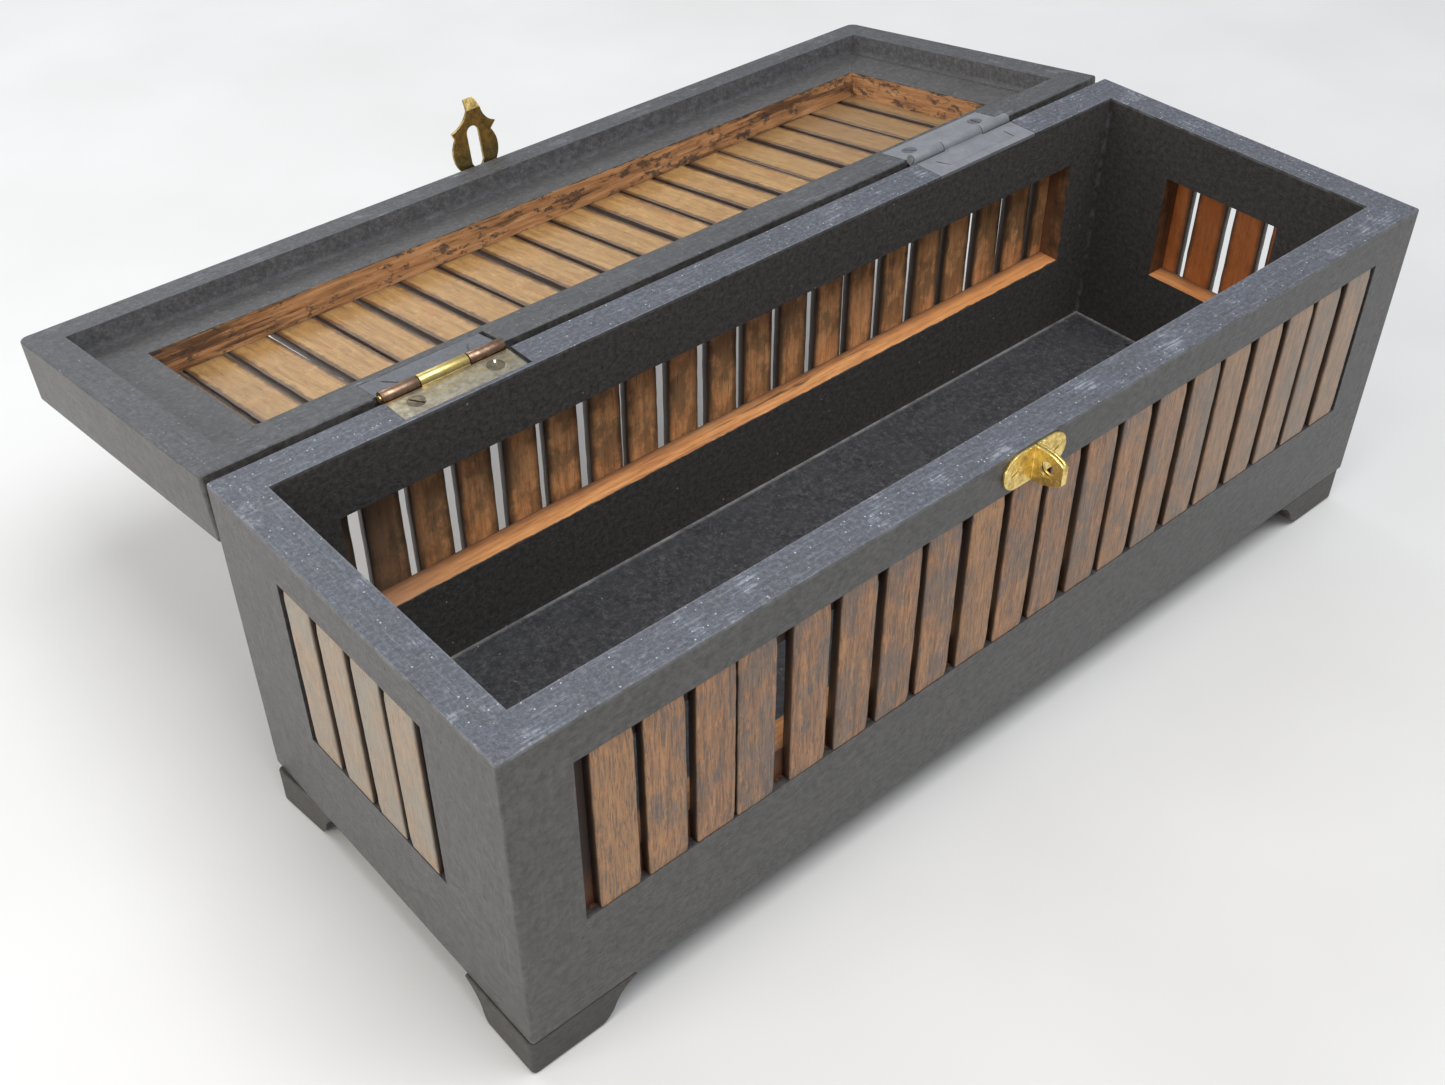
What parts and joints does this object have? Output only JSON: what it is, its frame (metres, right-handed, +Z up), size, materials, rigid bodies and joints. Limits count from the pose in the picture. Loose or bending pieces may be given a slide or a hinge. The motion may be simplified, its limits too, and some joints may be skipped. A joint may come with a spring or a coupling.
{
  "type": "hinged keepsake box",
  "caption": "Long low wooden keepsake box on corner feet, slatted windows in its walls and lid, butt hinges and a brass hasp and staple; the lid is modelled open.",
  "frame": {"origin": "centre of the box's footprint, on the surface it stands on", "axes": "+X along the box's length, to the right as seen from the front; +Y from the front, with the staple, to the back, with the hinges; +Z up"},
  "size_m": [0.3312, 0.2533, 0.11],
  "materials": {
    "wall_paint": "satin near-black paint over wood, brushed, bare orange wood on the window reveals",
    "lid_rail_paint": "satin near-black paint over wood, scuffed and dusty on the rim",
    "lid_panel_paint": "matt black paint over wood",
    "floor_paint": "matt black paint over wood, pale worn edges",
    "foot_paint": "satin near-black paint over wood",
    "wall_slats": "oiled reddish-brown hardwood",
    "lid_slats": "oiled reddish-brown hardwood, bare and paler inside the lid",
    "bright_brass": "worn bright brass",
    "aged_brass": "tarnished brass",
    "pin_brass": "drawn brass",
    "screw_brass": "tarnished brass",
    "latch_brass": "pressed sheet brass",
    "painted_hinge": "satin blue-grey paint over metal"
  },
  "bodies": {
    "box": {"front_bottom_rail": "wall_paint", "front_right_stile": "wall_paint", "front_top_rail": "wall_paint", "front_left_stile": "wall_paint", "right_bottom_rail": "wall_paint", "right_right_stile": "wall_paint", "right_top_rail": "wall_paint", "right_left_stile": "wall_paint", "back_bottom_rail": "wall_paint", "back_right_stile": "wall_paint", "back_top_rail": "wall_paint", "back_left_stile": "wall_paint", "left_bottom_rail": "wall_paint", "left_right_stile": "wall_paint", "left_top_rail": "wall_paint", "left_left_stile": "wall_paint", "front_slats": "wall_slats", "back_slats": "wall_slats", "left_slat_1": "wall_slats", "left_slat_2": "wall_slats", "left_slat_3": "wall_slats", "left_slat_4": "wall_slats", "right_slat_1": "wall_slats", "right_slat_2": "wall_slats", "right_slat_3": "wall_slats", "right_slat_4": "wall_slats", "floor_panel": "floor_paint", "front_left_foot": "foot_paint", "front_right_foot": "foot_paint", "back_right_foot": "foot_paint", "back_left_foot": "foot_paint", "left_hinge_box_leaf": "bright_brass", "right_hinge_box_leaf": "painted_hinge", "left_hinge_pin": "pin_brass", "right_hinge_pin": "pin_brass", "hinge_screws_box": "screw_brass", "staple": "latch_brass", "staple_nails": "screw_brass"},
    "lid": {"lid_front_rail": "lid_rail_paint", "lid_back_rail": "lid_rail_paint", "lid_left_rail": "lid_rail_paint", "lid_right_rail": "lid_rail_paint", "lid_panel_bottom_rail": "lid_panel_paint", "lid_panel_right_stile": "lid_panel_paint", "lid_panel_top_rail": "lid_panel_paint", "lid_panel_left_stile": "lid_panel_paint", "lid_slats": "lid_slats", "left_hinge_lid_leaf": "aged_brass", "right_hinge_lid_leaf": "painted_hinge", "hinge_screws_lid": "screw_brass", "hasp_lid_leaf": "latch_brass", "hasp_pin": "pin_brass", "hasp_screws": "screw_brass"},
    "hasp": {"hasp_plate": "latch_brass"}
  },
  "joints": [
    {"name": "lid_hinge", "type": "hinge", "parent": "box", "child": "lid", "pos_m": [0, 0.0602, 0.10815], "axis": [1, 0, 0], "range_deg": [0, 189.25]},
    {"name": "hasp_hinge", "type": "hinge", "parent": "lid", "child": "hasp", "pos_m": [-0.0063, 0.17857, 0.08467], "axis": [-1, 0, 0], "range_deg": [0, 175]}
  ]
}
